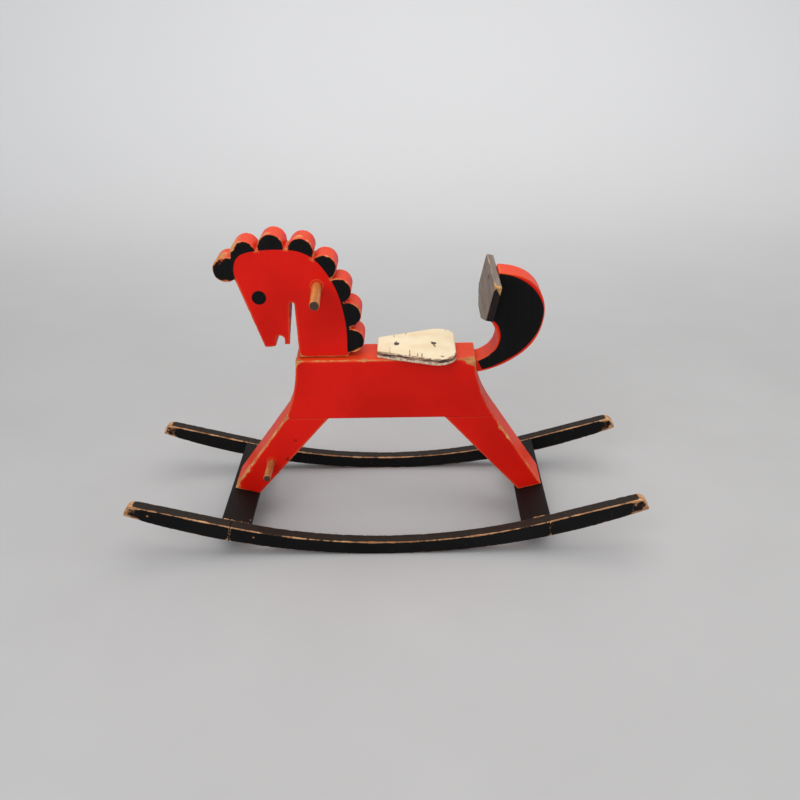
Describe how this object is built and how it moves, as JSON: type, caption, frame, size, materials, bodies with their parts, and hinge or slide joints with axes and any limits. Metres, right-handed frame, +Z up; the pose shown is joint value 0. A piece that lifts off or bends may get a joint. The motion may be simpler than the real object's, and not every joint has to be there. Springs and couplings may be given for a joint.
{
  "type": "rocking horse",
  "caption": "Painted wooden rocking horse for a toddler: board body on splayed legs, scalloped mane, curled tail, seat, backrest, grip and foot dowels, on bow rockers.",
  "frame": {"origin": "on the floor under the middle of the rockers, midway between them", "axes": "+X from the horse's head towards its tail, +Y towards the horse's right side, +Z up"},
  "size_m": [0.866, 0.31, 0.5143],
  "materials": {
    "red_paint": "worn red gloss paint over softwood",
    "black_paint": "worn black satin paint over softwood",
    "cream_paint": "chipped cream paint over plywood",
    "brown_stain": "worn dark brown paint",
    "bare_wood": "hand-polished bare wood",
    "dowel_wood": "bare wood, glued in",
    "steel_screws": "dull slotted steel"
  },
  "bodies": {
    "root": {"body_block": "red_paint", "front_leg": "red_paint", "rear_leg": "red_paint", "head_board": "red_paint", "tail_board": "red_paint", "seat_board": "cream_paint", "backrest_board": "brown_stain", "handle_dowel": "bare_wood", "footrest_dowel": "bare_wood", "front_crossboard": "black_paint", "rear_crossboard": "black_paint", "left_rocker_middle": "black_paint", "left_rocker_front_end": "black_paint", "left_rocker_rear_end": "black_paint", "right_rocker_middle": "black_paint", "right_rocker_front_end": "black_paint", "right_rocker_rear_end": "black_paint", "neck_dowels": "dowel_wood", "tail_dowels": "dowel_wood", "front_leg_dowels": "dowel_wood", "rear_leg_dowels": "dowel_wood", "front_crossboard_dowels": "dowel_wood", "rear_crossboard_dowels": "dowel_wood", "left_rocker_splice_dowels": "dowel_wood", "right_rocker_splice_dowels": "dowel_wood", "seat_screws": "steel_screws", "backrest_screw": "steel_screws", "front_leg_screws": "steel_screws", "rear_leg_screws": "steel_screws"}
  },
  "joints": []
}
